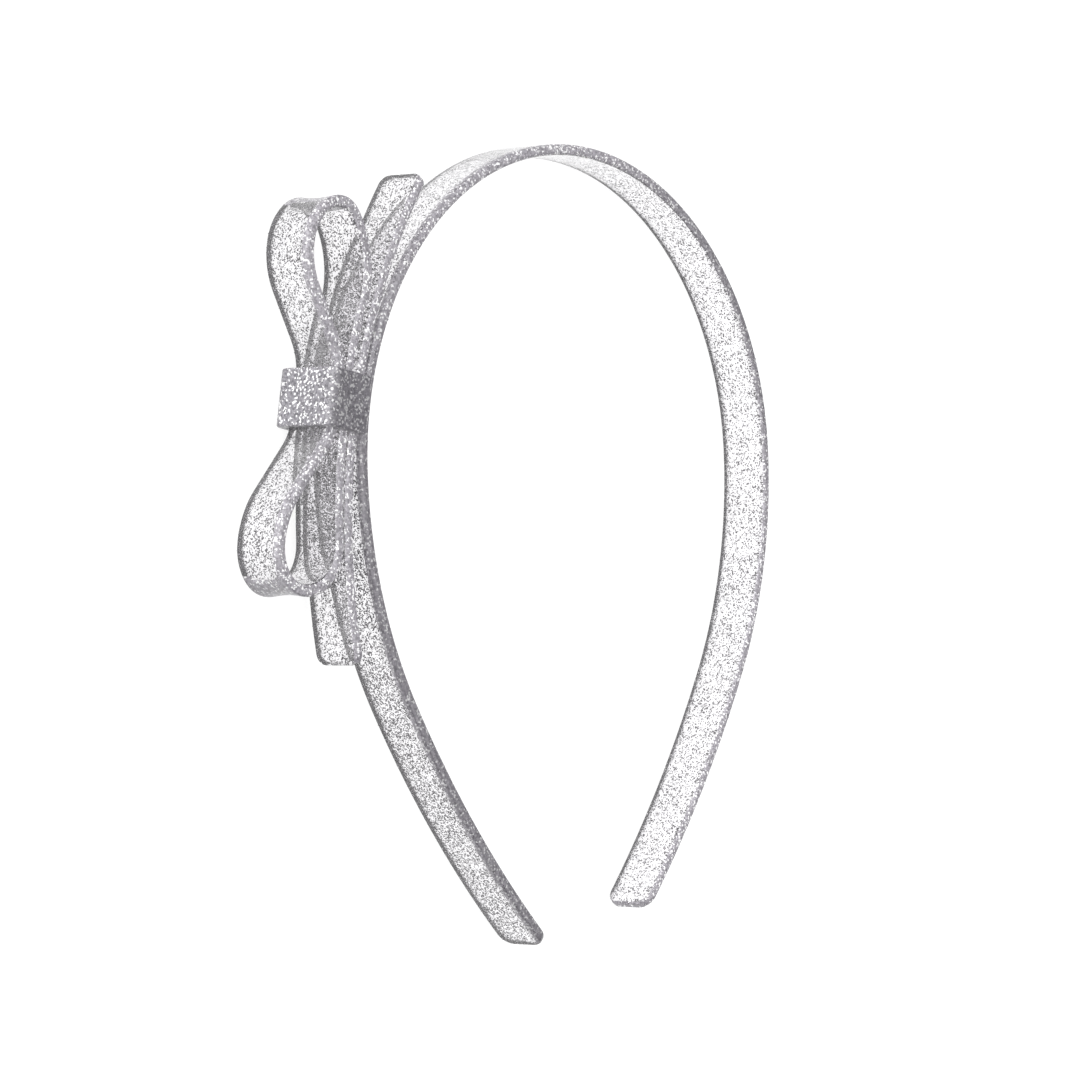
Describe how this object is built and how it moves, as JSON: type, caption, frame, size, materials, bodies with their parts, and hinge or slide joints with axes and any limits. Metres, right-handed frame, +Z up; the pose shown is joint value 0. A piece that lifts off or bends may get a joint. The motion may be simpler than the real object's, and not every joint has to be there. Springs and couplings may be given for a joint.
{
  "type": "bow headband",
  "caption": "Springy C-shaped headband of clear glitter acetate with a bow of looped and tailed strips set on one side, worn over the crown to hold hair back.",
  "frame": {"origin": "middle of the bounding box on the floor that the headband lies on", "axes": "+Z up from the floor, +Y towards the top of the hoop, +X away from the bow"},
  "size_m": [0.1392, 0.1456, 0.0135],
  "materials": {
    "glitter_acetate": "clear acetate filled with fine silver glitter, polished"
  },
  "bodies": {
    "root": {"band": "glitter_acetate", "bow_tails": "glitter_acetate", "bow_loops": "glitter_acetate", "bow_knot": "glitter_acetate"}
  },
  "joints": []
}
